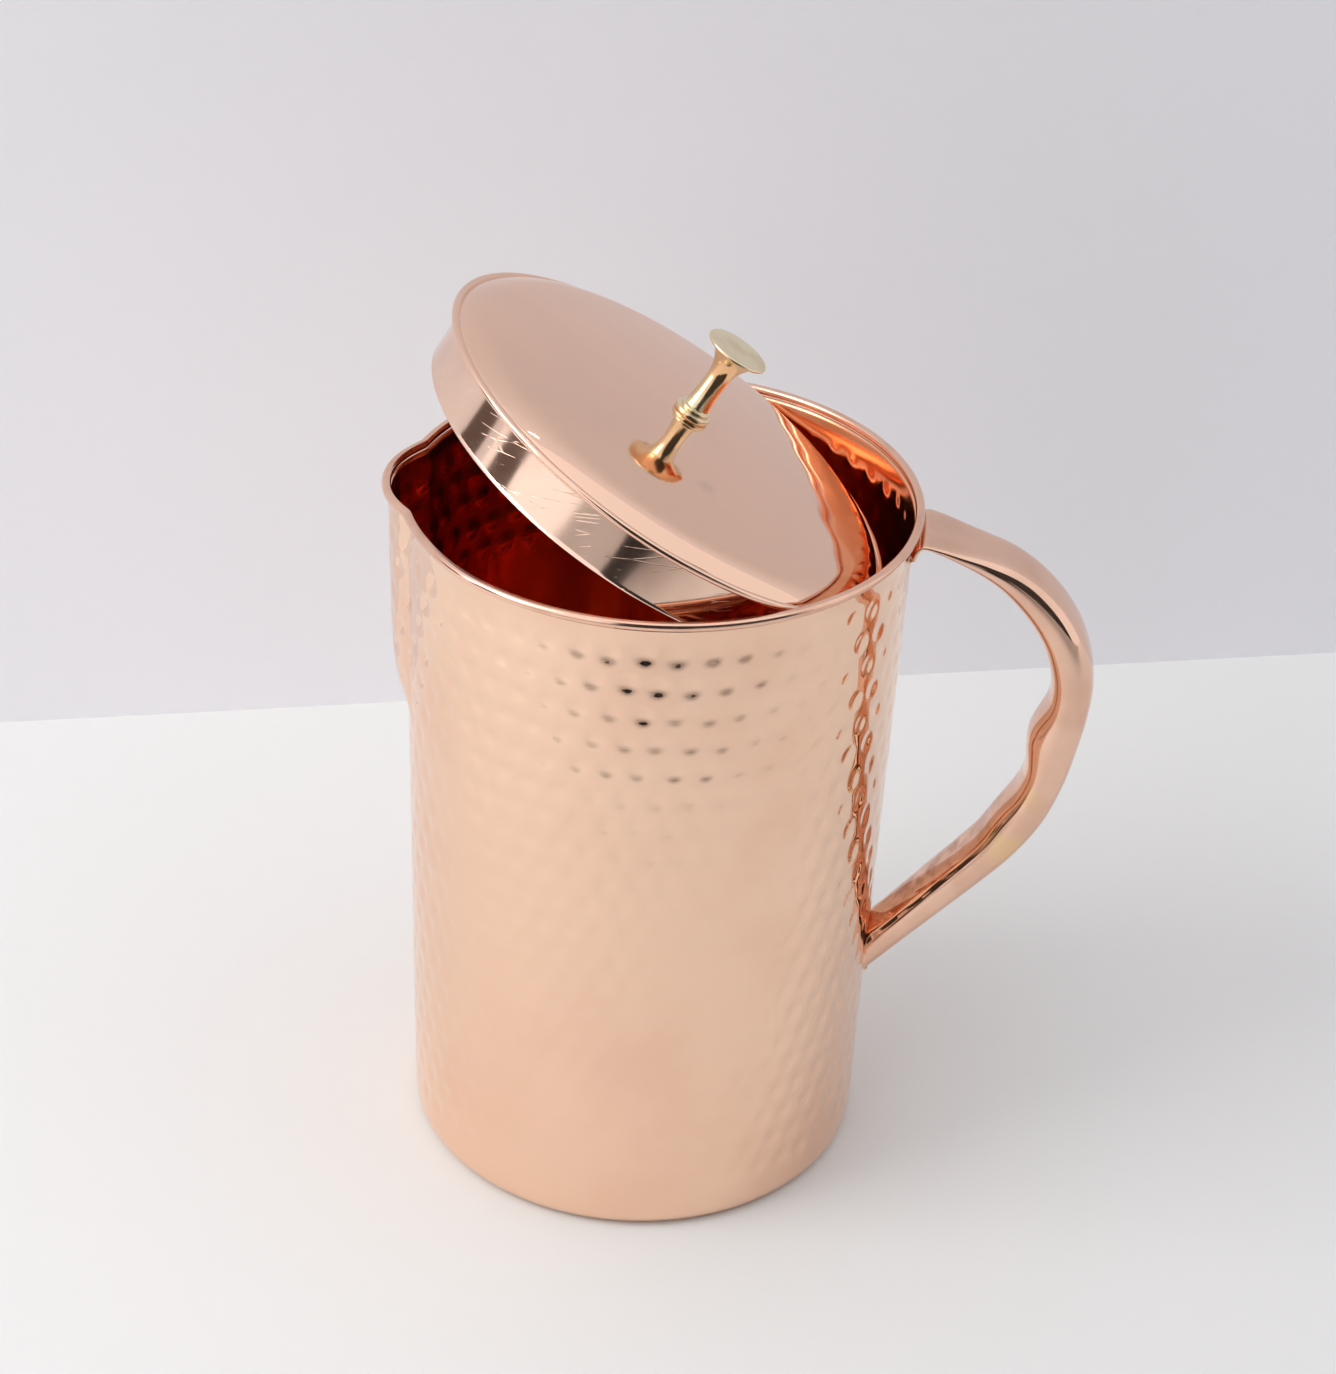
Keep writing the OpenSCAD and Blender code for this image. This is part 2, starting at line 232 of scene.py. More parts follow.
# %% Add and feed nodes
def feed(tree, node, values):
    """Feeds a node's inputs, named by identifier or by number, from sockets or plain values."""
    for key, value in values.items():
        by_name = [s for s in node.inputs if s.identifier == key or s.name == key]
        socket = node.inputs[key] if isinstance(key, int) else by_name[0]
        if isinstance(value, bpy.types.NodeSocket):
            tree.links.new(value, socket)
        else:
            socket.default_value = value


def node(tree, kind, values=None, **settings):
    made = tree.nodes.new(kind)
    for key, value in settings.items():
        setattr(made, key, value)
    feed(tree, made, values or {})
    return made


def output(made, identifier):
    """An output socket by its identifier, where several share a name."""
    return next(s for s in made.outputs if s.identifier == identifier)


def calc(tree, operation, *values):
    """One step of arithmetic, as an output socket."""
    return node(tree, "ShaderNodeMath", dict(enumerate(values)), operation=operation).outputs[0]


def vector_calc(tree, operation, *values, out="Vector"):
    made = node(tree, "ShaderNodeVectorMath", dict(enumerate(values)), operation=operation)
    return made.outputs[out]


def group_inputs(tree, sockets):
    """Makes a group's inputs from {name: (socket type, default)} and returns its input node."""
    for name, (kind, default) in sockets.items():
        made = tree.interface.new_socket(name, in_out="INPUT", socket_type=kind)
        if default is not None:
            made.default_value = default
    return tree.nodes.new("NodeGroupInput")


def shaped_by(piece, tree, values):
    """Runs a geometry tree on a piece with the given named inputs, and returns the result as plain mesh."""
    modifier = piece.modifiers.new(tree.name, "NODES")
    modifier.node_group = tree
    identifiers = {s.name: s.identifier for s in tree.interface.items_tree if s.in_out == "INPUT"}
    for name, value in values.items():
        modifier[identifiers[name]] = value
    depsgraph = bpy.context.evaluated_depsgraph_get()
    mesh = bpy.data.meshes.new_from_object(piece.evaluated_get(depsgraph), depsgraph=depsgraph)
    made = bpy.data.objects.new(piece.name + "_shaped", mesh)
    bpy.context.scene.collection.objects.link(made)
    bpy.data.objects.remove(piece)
    print(f"{tree.name}: {len(mesh.polygons)} faces")
    return made


# %% [markdown]
# ## Colours of copper
# Polished copper is a pink metal that looks peach under a white sky. Inside the jug the light bounces
# from copper to copper, and the metal itself is less polished; its colour is also set darker and redder as
# painted shade, so it turns a deep red brown. The finishes are built from a few effects that several of
# them share, each a group with its own inputs: handling haze, fine scratches, and soft spots that give the
# golden tint heat leaves near a brazed joint, painted shade and a painted reflection.

# %% A group for the cloudy haze that handling leaves
def shader_group(name, inputs, outputs):
    tree = bpy.data.node_groups.new(name, "ShaderNodeTree")
    source = group_inputs(tree, inputs)
    for out_name, kind in outputs.items():
        tree.interface.new_socket(out_name, in_out="OUTPUT", socket_type=kind)
    return tree, source, tree.nodes.new("NodeGroupOutput")


def noise(tree, where, scale, detail=3.0, roughness=0.55):
    made = node(tree, "ShaderNodeTexNoise",
                {"Vector": where, "Scale": scale, "Detail": detail, "Roughness": roughness})
    return made.outputs["Fac"]


def ramp(tree, value, low, high, to_low=0.0, to_high=1.0):
    made = node(tree, "ShaderNodeMapRange", {"Value": value, "From Min": low, "From Max": high,
                                             "To Min": to_low, "To Max": to_high},
                interpolation_type="SMOOTHSTEP")
    return made.outputs["Result"]


def mixed(tree, share, a, b):
    made = node(tree, "ShaderNodeMix", {"Factor_Float": share, "A_Color": a, "B_Color": b}, data_type="RGBA")
    return output(made, "Result_Color")


haze_tree, haze_in, haze_out = shader_group(
    "handling_haze",
    {"Vector": ("NodeSocketVector", None), "Clean Color": ("NodeSocketColor", None),
     "Dull Color": ("NodeSocketColor", None), "Patches per Metre": ("NodeSocketFloat", 40.0),
     "Haze": ("NodeSocketFloat", 0.5), "Polished Roughness": ("NodeSocketFloat", 0.1),
     "Hazy Roughness": ("NodeSocketFloat", 0.25)},
    {"Color": "NodeSocketColor", "Roughness": "NodeSocketFloat"})
cloud = noise(haze_tree, haze_in.outputs["Vector"], haze_in.outputs["Patches per Metre"])
speck_scale = calc(haze_tree, "MULTIPLY", haze_in.outputs["Patches per Metre"], 9.0)
speck = noise(haze_tree, haze_in.outputs["Vector"], speck_scale, 2.0)
cloud_share = calc(haze_tree, "MULTIPLY", ramp(haze_tree, cloud, 0.42, 0.72), haze_in.outputs["Haze"])
speck_share = calc(haze_tree, "MULTIPLY", ramp(haze_tree, speck, 0.60, 0.75), 0.35)
dull_share = calc(haze_tree, "MAXIMUM", cloud_share, calc(haze_tree, "MULTIPLY", speck_share, cloud_share))
haze_color = mixed(haze_tree, dull_share, haze_in.outputs["Clean Color"], haze_in.outputs["Dull Color"])
rough_step = calc(haze_tree, "SUBTRACT", haze_in.outputs["Hazy Roughness"],
                  haze_in.outputs["Polished Roughness"])
rough_mix = calc(haze_tree, "MULTIPLY", dull_share, rough_step)
haze_rough = calc(haze_tree, "ADD", haze_in.outputs["Polished Roughness"], rough_mix)
feed(haze_tree, haze_out, {"Color": haze_color, "Roughness": haze_rough})
print("group:", haze_tree.name)

# %% A group for fine straight scratches
scratch_tree, scratch_in, scratch_out = shader_group(
    "fine_scratches",
    {"Vector": ("NodeSocketVector", None), "Lines per Metre": ("NodeSocketFloat", 300.0),
     "Stretch": ("NodeSocketVector", (1.0, 1.0, 0.05)), "Amount": ("NodeSocketFloat", 0.5)},
    {"Mask": "NodeSocketFloat"})
stretched = vector_calc(scratch_tree, "MULTIPLY", scratch_in.outputs["Vector"], scratch_in.outputs["Stretch"])
cells = node(scratch_tree, "ShaderNodeTexVoronoi",
             {"Vector": stretched, "Scale": scratch_in.outputs["Lines per Metre"], "Randomness": 1.0},
             feature="DISTANCE_TO_EDGE")
line = ramp(scratch_tree, cells.outputs["Distance"], 0.0, 0.035, 1.0, 0.0)
patchy = ramp(scratch_tree, noise(scratch_tree, scratch_in.outputs["Vector"], 120.0), 0.50, 0.62)
scratched = calc(scratch_tree, "MULTIPLY", calc(scratch_tree, "MULTIPLY", line, patchy),
                 scratch_in.outputs["Amount"])
feed(scratch_tree, scratch_out, {"Mask": scratched})
print("group:", scratch_tree.name)

# %% A group for a soft-edged spot, used for heat tints, painted shade and a painted reflection
spot_tree, spot_in, spot_out = shader_group(
    "soft_spot",
    {"Vector": ("NodeSocketVector", None), "Middle": ("NodeSocketVector", None),
     "Radius": ("NodeSocketFloat", 0.01), "Strength": ("NodeSocketFloat", 0.6)},
    {"Mask": "NodeSocketFloat"})
away = vector_calc(spot_tree, "DISTANCE", spot_in.outputs["Vector"], spot_in.outputs["Middle"], out="Value")
share_away = calc(spot_tree, "DIVIDE", away, spot_in.outputs["Radius"])
ragged = calc(spot_tree, "MULTIPLY", noise(spot_tree, spot_in.outputs["Vector"], 260.0, 4.0), 1.3)
spot = ramp(spot_tree, calc(spot_tree, "ADD", share_away, ragged), 0.9, 1.6, 1.0, 0.0)
feed(spot_tree, spot_out, {"Mask": calc(spot_tree, "MULTIPLY", spot, spot_in.outputs["Strength"])})
print("group:", spot_tree.name)


# %% Build one metal from the shared groups
def placed_group(tree, group, values):
    made = tree.nodes.new("ShaderNodeGroup")
    made.node_tree = group
    feed(tree, made, values)
    return made


def metal(name, clean, dull, patches=40.0, haze=0.5, polished=0.1, hazy=0.25, scratches=0.0,
          scratch_lines=300.0, stretch=(1.0, 1.0, 0.05), spots=(), grain=0.02):
    """A polished metal with haze, scratches, spots of (middle, radius, strength, color) and a faint grain."""
    material = bpy.data.materials.new(name)
    material.use_nodes = True
    tree = material.node_tree
    shader = tree.nodes["Principled BSDF"]
    shader.inputs["Metallic"].default_value = 1.0
    where = tree.nodes.new("ShaderNodeTexCoord").outputs["Object"]
    hazed = placed_group(tree, haze_tree, {"Vector": where, "Clean Color": clean, "Dull Color": dull,
                                           "Patches per Metre": patches, "Haze": haze,
                                           "Polished Roughness": polished, "Hazy Roughness": hazy})
    color, rough = hazed.outputs["Color"], hazed.outputs["Roughness"]
    for middle, radius, strength, spot_color in spots:
        tinted = placed_group(tree, spot_tree, {"Vector": where, "Middle": middle, "Radius": radius,
                                                "Strength": strength})
        color = mixed(tree, tinted.outputs["Mask"], color, spot_color)
    height = calc(tree, "MULTIPLY", noise(tree, where, 900.0, 2.0), grain)
    if scratches > 0:
        lined = placed_group(tree, scratch_tree, {"Vector": where, "Lines per Metre": scratch_lines,
                                                  "Stretch": stretch, "Amount": scratches})
        rough = calc(tree, "ADD", rough, calc(tree, "MULTIPLY", lined.outputs["Mask"], 0.35))
        height = calc(tree, "SUBTRACT", height, calc(tree, "MULTIPLY", lined.outputs["Mask"], 0.3))
    bump = node(tree, "ShaderNodeBump", {"Strength": 0.25, "Distance": 0.0003, "Height": height})
    feed(tree, shader, {"Base Color": color, "Roughness": rough, "Normal": bump.outputs["Normal"]})
    return material


COPPER = (0.93, 0.64, 0.47, 1.0)
ROSY_COPPER = (0.86, 0.52, 0.37, 1.0)
PINK_COPPER = (0.91, 0.60, 0.45, 1.0)
outside_copper = metal("outside_copper", COPPER, ROSY_COPPER, patches=28.0, haze=0.4, polished=0.045,
                       hazy=0.11, scratches=0.12)
# the inner copper is less polished, and its darker, redder colour is partly painted shade for the deep inside
shaded_inside_copper = metal("shaded_inside_copper", (0.88, 0.49, 0.31, 1.0), (0.72, 0.34, 0.18, 1.0), patches=35.0,
                      haze=0.8, polished=0.10, hazy=0.2)
edge_copper = metal("edge_copper", (0.88, 0.56, 0.42, 1.0), (0.72, 0.42, 0.30, 1.0), patches=70.0,
                    haze=0.7, polished=0.12, hazy=0.28, scratches=0.3)
print("first metals ready")

# %% [markdown]
# ## Hammer marks
# The smith works round the wall in rows with a small domed hammer, and each row starts half a step on
# from the last. Every blow leaves a shallow round dish, pushed out on the inside as a low bump. That is a
# rule, so a geometry tree makes it: it lays out points in staggered rows, snaps them to the wall, and
# moves each point of the sheet inwards by how near it is to its closest blow.

# %% Geometry tree: rows of hammer marks on a wall
def hammer_tree():
    tree = bpy.data.node_groups.new("hammer_marks", "GeometryNodeTree")
    source = group_inputs(tree, {
        "Geometry": ("NodeSocketGeometry", None), "Marks Around": ("NodeSocketInt", 50),
        "Rows": ("NodeSocketInt", 21), "Row Step": ("NodeSocketFloat", 0.0078),
        "Top Row": ("NodeSocketFloat", 0.17), "Mark Radius": ("NodeSocketFloat", 0.0034),
        "Mark Depth": ("NodeSocketFloat", 0.0003), "Aim": ("NodeSocketFloat", 0.0008),
        "Unevenness": ("NodeSocketFloat", 0.0001), "Seed": ("NodeSocketInt", 7),
        "Outside": ("NodeSocketMaterial", None), "Inside": ("NodeSocketMaterial", None)})
    tree.interface.new_socket("Geometry", in_out="OUTPUT", socket_type="NodeSocketGeometry")
    given = source.outputs
    index = tree.nodes.new("GeometryNodeInputIndex").outputs[0]
    row = calc(tree, "FLOOR", calc(tree, "DIVIDE", index, given["Marks Around"]))
    step = calc(tree, "ADD", index, calc(tree, "MULTIPLY", calc(tree, "FLOORED_MODULO", row, 2.0), 0.5))
    turn = calc(tree, "DIVIDE", calc(tree, "MULTIPLY", step, 2 * math.pi), given["Marks Around"])

    def wander(amount, seed_step):
        seed = calc(tree, "ADD", given["Seed"], seed_step)
        drawn = node(tree, "FunctionNodeRandomValue", {"Min_001": -1.0, "Max_001": 1.0, "Seed": seed})
        return calc(tree, "MULTIPLY", output(drawn, "Value_001"), amount)

    angle = calc(tree, "ADD", turn, wander(calc(tree, "DIVIDE", given["Aim"], 0.06), 1))
    height = calc(tree, "SUBTRACT", given["Top Row"], calc(tree, "MULTIPLY", row, given["Row Step"]))
    height = calc(tree, "ADD", height, wander(given["Aim"], 2))
    far = 0.07
    aim = node(tree, "ShaderNodeCombineXYZ", {"X": calc(tree, "MULTIPLY", calc(tree, "COSINE", angle), far),
                                              "Y": calc(tree, "MULTIPLY", calc(tree, "SINE", angle), far),
                                              "Z": height})
    count = calc(tree, "MULTIPLY", given["Marks Around"], given["Rows"])
    blows = node(tree, "GeometryNodePoints", {"Count": count, "Position": aim.outputs[0]})
    here = tree.nodes.new("GeometryNodeInputPosition").outputs[0]
    landing = node(tree, "GeometryNodeProximity", {"Target": given["Geometry"], "Source Position": here},
                   target_element="FACES")
    landed = node(tree, "GeometryNodeSetPosition", {"Geometry": blows.outputs[0],
                                                    "Position": landing.outputs["Position"]})
    nearest = node(tree, "GeometryNodeSampleNearest", {"Geometry": landed.outputs[0],
                                                       "Sample Position": here}, domain="POINT")
    blow_at = node(tree, "GeometryNodeSampleIndex", {"Geometry": landed.outputs[0], "Value": here,
                                                     "Index": nearest.outputs[0]},
                   data_type="FLOAT_VECTOR", domain="POINT")
    force_drawn = node(tree, "FunctionNodeRandomValue", {"Min_001": 0.86, "Max_001": 1.12,
                                                         "Seed": given["Seed"]})
    force = node(tree, "GeometryNodeSampleIndex", {"Geometry": landed.outputs[0],
                                                   "Value": output(force_drawn, "Value_001"),
                                                   "Index": nearest.outputs[0]}, domain="POINT")
    distance = vector_calc(tree, "DISTANCE", here, blow_at.outputs["Value"], out="Value")
    share = calc(tree, "DIVIDE", distance, given["Mark Radius"])
    bowl = calc(tree, "SUBTRACT", 1.0, calc(tree, "MULTIPLY", share, share))
    dish = calc(tree, "MAXIMUM", bowl, 0.0)
    depth = calc(tree, "MULTIPLY", calc(tree, "MULTIPLY", dish, force.outputs["Value"]), given["Mark Depth"])
    sway = calc(tree, "MULTIPLY", calc(tree, "SUBTRACT", noise(tree, here, 45.0, 2.0), 0.5),
                given["Unevenness"])
    parts = node(tree, "ShaderNodeSeparateXYZ", {"Vector": here}).outputs
    grown = ramp(tree, parts["Z"], 0.004, 0.010)
    faded = ramp(tree, parts["Z"], 0.170, 0.176, 1.0, 0.0)
    moved = calc(tree, "MULTIPLY", calc(tree, "SUBTRACT", calc(tree, "MULTIPLY", sway, faded), depth), grown)
    level = node(tree, "ShaderNodeCombineXYZ", {"X": parts["X"], "Y": parts["Y"], "Z": 0.0}).outputs[0]
    outwards = vector_calc(tree, "NORMALIZE", level)
    offset = node(tree, "ShaderNodeVectorMath", {"Vector": outwards, "Scale": moved}, operation="SCALE")
    beaten = node(tree, "GeometryNodeSetPosition", {"Geometry": given["Geometry"],
                                                    "Offset": offset.outputs["Vector"]})
    inner = node(tree, "GeometryNodeInputNamedAttribute", {"Name": "inside_face"}, data_type="BOOLEAN")
    whole = node(tree, "GeometryNodeRealizeInstances", {"Geometry": beaten.outputs[0]})
    painted = node(tree, "GeometryNodeSetMaterial", {"Geometry": whole.outputs[0],
                                                     "Material": given["Outside"]})
    lined = node(tree, "GeometryNodeSetMaterial", {"Geometry": painted.outputs[0],
                                                   "Selection": inner.outputs["Attribute"],
                                                   "Material": given["Inside"]})
    smooth = node(tree, "GeometryNodeSetShadeSmooth", {"Geometry": lined.outputs[0]})
    feed(tree, tree.nodes.new("NodeGroupOutput"), {"Geometry": smooth.outputs[0]})
    return tree


# %% Beat the marks into the wall
jug_wall = shaped_by(plain_sheet, hammer_tree(), {
    "Marks Around": 50, "Rows": 21, "Row Step": 7.8 * MM, "Top Row": 169.5 * MM, "Mark Radius": 2.6 * MM,
    "Mark Depth": 0.37 * MM, "Aim": 0.5 * MM, "Unevenness": 0.3 * MM, "Seed": 7,
    "Outside": outside_copper, "Inside": shaded_inside_copper})
jug_wall.name = "jug_wall"
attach(jug_wall, "jug")
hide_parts("body_shell")

# %% [markdown]
# ## The rolled edge
# The raw edge of the sheet is rolled over a wire, which stiffens the mouth and makes it safe to drink and
# pour from. It is one round section carried along the plan of the mouth, nose and pinches included, so a
# tree sweeps a circle along that plan.

# %% Sweep the rolled edge
def sweep_tree():
    tree = bpy.data.node_groups.new("rolled_edge", "GeometryNodeTree")
    source = group_inputs(tree, {"Geometry": ("NodeSocketGeometry", None),
                                 "Roll Radius": ("NodeSocketFloat", 0.001), "Sides": ("NodeSocketInt", 20),
                                 "Metal": ("NodeSocketMaterial", None)})
    tree.interface.new_socket("Geometry", in_out="OUTPUT", socket_type="NodeSocketGeometry")
    circle = node(tree, "GeometryNodeCurvePrimitiveCircle", {"Resolution": source.outputs["Sides"],
                                                             "Radius": source.outputs["Roll Radius"]})
    swept = node(tree, "GeometryNodeCurveToMesh", {"Curve": source.outputs["Geometry"],
                                                   "Profile Curve": circle.outputs["Curve"]})
    whole = node(tree, "GeometryNodeRealizeInstances", {"Geometry": swept.outputs[0]})
    painted = node(tree, "GeometryNodeSetMaterial", {"Geometry": whole.outputs[0],
                                                     "Material": source.outputs["Metal"]})
    smooth = node(tree, "GeometryNodeSetShadeSmooth", {"Geometry": painted.outputs[0]})
    feed(tree, tree.nodes.new("NodeGroupOutput"), {"Geometry": smooth.outputs[0]})
    return tree


def closed_path(name, points):
    curve = bpy.data.curves.new(name, "CURVE")
    curve.dimensions = "3D"
    spline = curve.splines.new("POLY")
    spline.points.add(len(points) - 1)
    spline.points.foreach_set("co", [x for p in points for x in (*p, 1.0)])
    spline.use_cyclic_u = True
    made = bpy.data.objects.new(name, curve)
    bpy.context.scene.collection.objects.link(made)
    return made


EDGE_STEPS = 480
edge_angles = np.arange(EDGE_STEPS) * 2 * math.pi / EDGE_STEPS
edge_r = edge_plan(edge_angles) + ROLL_R
edge_path = closed_path("edge_path", [(r * math.cos(a), r * math.sin(a), RIM_Z)
                                      for r, a in zip(edge_r, edge_angles)])
rolled_rim = shaped_by(edge_path, sweep_tree(), {"Roll Radius": ROLL_R * 0.98, "Sides": 20,
                                                 "Metal": edge_copper})
rolled_rim.name = "rolled_rim"
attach(rolled_rim, "jug")
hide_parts("rim_bead")

# %% [markdown]
# ## The handle
# The handle is a hollow tube, raised from sheet and brazed along its inner side. Its top is flattened to
# a strap that lies on the wall under the rolled edge, and it thickens to a round-cornered grip with two
# hollows for the fingers. It is swept by a smooth curve through listed stations, each with a width
# and a thickness, which are those of the design so that it fills the same space.

# %% Stations of the handle and the smooth curve through them
STRAP_Z = 175.4
HANDLE = [  # distance from the axis, height over the strap, width, thickness, in millimetres
    (61.0, -3.4, 19.5, 2.2), (61.9, -0.9, 19.5, 2.2), (63.4, 0.3, 19.5, 2.3), (67.0, -0.6, 19.0, 3.0),
    (72.0, -2.5, 18.0, 4.2), (78.0, -5.0, 17.0, 6.0), (84.0, -8.1, 17.0, 7.8), (90.0, -13.0, 17.0, 9.2),
    (95.5, -19.5, 17.0, 10.0), (99.5, -27.0, 17.0, 10.4), (101.8, -36.0, 17.0, 10.4),
    (101.5, -45.0, 17.0, 10.4), (100.0, -54.5, 17.0, 10.4), (98.0, -64.0, 17.0, 10.4),
    (94.5, -74.0, 17.0, 10.4), (89.0, -83.5, 17.0, 10.2), (82.0, -92.5, 16.5, 9.8),
    (74.0, -102.0, 16.0, 9.4), (66.0, -111.5, 15.5, 9.0), (54.0, -125.7, 15.0, 8.6)]
SPANS = len(HANDLE) - 1
FINGER_DEPTH = 2.4
CREST_AT = 11.9                          # the crest between the two hollows, counted in stations


def station(t):
    """Smooth (Catmull-Rom) values through the stations at t, from 0 to SPANS."""
    i = min(int(t), SPANS - 1)
    a, b, c, d = (np.array(HANDLE[max(0, min(SPANS, k))]) for k in (i - 1, i, i + 1, i + 2))
    u = t - i
    return 0.5 * (2 * b + (c - a) * u + (2 * a - 5 * b + 4 * c - d) * u ** 2
                  + (3 * b - a - 3 * c + d) * u ** 3)


def crest(t, at, half):
    u = (t - at) / half
    return math.cos(math.pi / 2 * u) ** 2 if abs(u) < 1 else 0.0


def inner_swell(t):
    return FINGER_DEPTH * (crest(t, CREST_AT, 1.3) + 0.35 * crest(t, CREST_AT + 2.6, 1.1))


# %% Sweep the handle and close it on the wall
HANDLE_SIDES, RINGS_PER_SPAN = 48, 12


def handle_ring(t):
    out, height, width, thick = station(t)
    ahead = station(min(SPANS, t + 0.05)) - station(max(0, t - 0.05))
    along_x, along_z = ahead[:2] / np.hypot(*ahead[:2])
    turn = np.arange(HANDLE_SIDES) * 2 * math.pi / HANDLE_SIDES
    across = width / 2 * np.sign(np.cos(turn)) * np.abs(np.cos(turn)) ** 0.7
    rise = (thick / 2 - 0.08) * np.sign(np.sin(turn)) * np.abs(np.sin(turn)) ** 0.8
    rise = rise - inner_swell(t) * np.where(np.sin(turn) < 0, np.sin(turn) ** 2, 0)
    return np.stack([out - along_z * rise, across, STRAP_Z + height + along_x * rise], -1) * MM


handle_rings = np.stack([handle_ring(k / RINGS_PER_SPAN) for k in range(SPANS * RINGS_PER_SPAN + 1)])
from_axis = np.hypot(handle_rings[..., 0], handle_rings[..., 1])
seat = plain_wall(handle_rings[..., 2]) - SHEET / 2
push = np.where(from_axis < seat, seat / from_axis, 1.0)
handle_rings[..., :2] *= push[..., None]
grip_handle = ring_mesh("grip_handle", handle_rings)
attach(grip_handle, "jug")
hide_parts("handle_tube")

# %% [markdown]
# ## The lid's place
# The lid is loose. It has slid down on the handle's side until its skirt caught inside the mouth, so it
# leans. The joint in the frame says where: at rest the lid leans by the joint's whole travel, and at the
# far end of it the lid lies level. Shapes are turned level, then leaned with this matrix.

# %% Matrix from the level lid to the leaning one
joint = frame["joints"][0]
pivot, axis = Vector(joint["pos_m"]), Vector(joint["axis"])
LEAN = math.radians(joint["range_deg"][1])
LID_TURN = math.atan2(axis.x, -axis.y)
LID_BEAD_R = 0.9 * MM
LID_GAP = 0.3 * MM                       # the level lid clears the rolled edge by this much
LID_SHIFT = 0.2 * MM                     # and sits this far towards the spout
level_place = Vector((-LID_SHIFT * math.cos(LID_TURN), -LID_SHIFT * math.sin(LID_TURN),
                      RIM_Z + ROLL_R + LID_GAP + LID_BEAD_R))
lid_place = (Matrix.Translation(pivot) @ Matrix.Rotation(-LEAN, 4, axis) @ Matrix.Translation(-pivot)
             @ Matrix.Translation(level_place))
print("middle of the leaning lid:", [round(x * 1000, 2) for x in lid_place.translation])


# %% Turn a profile on the lid's axis
def turned(name, profile, columns, shape=None):
    """A turned piece from (radius, height) points in millimetres, which start and end on the axis."""
    turn = np.arange(columns) * 2 * math.pi / columns
    rows = []
    for radius, height in profile:
        r, z = np.full(columns, radius * MM), np.full(columns, height * MM)
        if shape is not None:
            r, z = shape(turn, r, z)
        rows.append(np.stack([r * np.cos(turn), r * np.sin(turn), z], -1))
    rings = np.stack(rows)
    matrix = np.array(lid_place)
    rings = rings @ matrix[:3, :3].T + matrix[:3, 3]
    on_axis = profile[0][0] < 0.01
    return ring_mesh(name, rings[1:-1] if on_axis else rings, closed=not on_axis)


def arc(middle_r, middle_z, radius, start, end, steps):
    turns = np.radians(np.linspace(start, end, steps))
    return [(middle_r + radius * math.cos(a), middle_z + radius * math.sin(a)) for a in turns]


# %% [markdown]
# ## The lid
# The lid's top is a shallow dome, beaten up from a disc and planished nearly flat, so its mirror is just
# uneven enough to bend what it reflects. Its edge is folded into a bead that hides the top of the skirt.
# The skirt is a plain strip bent to a ring, with one lapped seam, and it carries the scratches from being
# dropped into the mouth again and again.

# %% Dome and its folded bead
LID_R, DOME_RISE, DOME_EDGE = 60.6, 8.0, 59.4
SHOULDER_RISE, SHOULDER_W = 3.2, 8.0     # the dome rolls over a rounded shoulder down to its bead
BEAD_R = 0.9
bead_path = LID_R - BEAD_R
crown_rise = DOME_RISE - SHOULDER_RISE
crown_radius = (DOME_EDGE ** 2 + crown_rise ** 2) / (2 * crown_rise)


def dome_z(r):
    shoulder = max(0, r - DOME_EDGE + SHOULDER_W) / SHOULDER_W
    return (crown_rise - crown_radius + math.sqrt(crown_radius ** 2 - r * r)
            + SHOULDER_RISE * (1 - shoulder ** 2))


def planished(turn, r, z):
    """Broad, shallow unevenness left by beating the dome flat, none at the bead."""
    x, y = r * np.cos(turn) / MM, r * np.sin(turn) / MM
    wave = np.sin(x / 6.1 + 1.3 * np.sin(y / 9.7)) * np.sin(y / 7.3 + 0.9 * np.sin(x / 8.9))
    wave = wave + 0.7 * np.sin(x / 2.9 + y / 4.6) * np.sin(y / 3.4 - x / 5.7)
    calm = smooth_step((54 * MM - r) / (12 * MM))
    return r, z + 0.04 * MM * wave * calm


dome_top = [(r, dome_z(r)) for r in np.linspace(0, 58.8, 96)]
bead_round = arc(bead_path, 0, BEAD_R, 154, -118, 26)
dome_under = [(r, dome_z(r) - 0.8) for r in np.linspace(58.6, 0, 44)]
lid_dome = turned("lid_dome", dome_top + bead_round + dome_under, 240, planished)
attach(lid_dome, "lid")
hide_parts("lid_top")

# %% Skirt with its lapped seam
SKIRT_R, SKIRT_T, SKIRT_H = 57.8, 0.7, 14.0
SEAM_AT = math.radians(-62)
SEAM_STEP = 0.16 * MM


def lapped(turn, r, z):
    """The strip's end rides up on its start and drops back at the seam."""
    before = (SEAM_AT - turn) % (2 * math.pi)
    ride_up = smooth_step(1 - before / math.radians(16))
    sway = 0.05 * MM * np.sin(3 * turn) + 0.03 * MM * np.sin(7 * turn + z / (5 * MM))
    return r - SEAM_STEP * (1 - ride_up) + sway, z


hem = 0.25
skirt_profile = ([(SKIRT_R - 0.06, z) for z in np.linspace(0.4, hem - SKIRT_H, 16)]
                 + arc(SKIRT_R - 0.06 - hem, hem - SKIRT_H, hem, 0, -90, 5)
                 + arc(SKIRT_R - SKIRT_T + hem, hem - SKIRT_H, hem, -90, -180, 5)
                 + [(SKIRT_R - SKIRT_T, z) for z in np.linspace(1 - SKIRT_H, 0.4, 12)])
lid_band = turned("lid_band", skirt_profile, 480, lapped)
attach(lid_band, "lid")
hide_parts("lid_skirt")

# %% [markdown]
# ## The knob
# The knob is turned from brass bar: a stepped foot, a slim waist that flares under the disc, and a disc
# with a soft rounded rim for the fingers. A screw from under the lid holds it. A turned part is a profile
# spun on its axis, so that is how it is drawn.

# %% Turn the knob
KNOB_BASE, KNOB_H = DOME_RISE, 20.0
DISC_R, DISC_T = 7.8, 1.2
STEM_LOW, STEM_HIGH = 2.5, KNOB_H - DISC_T


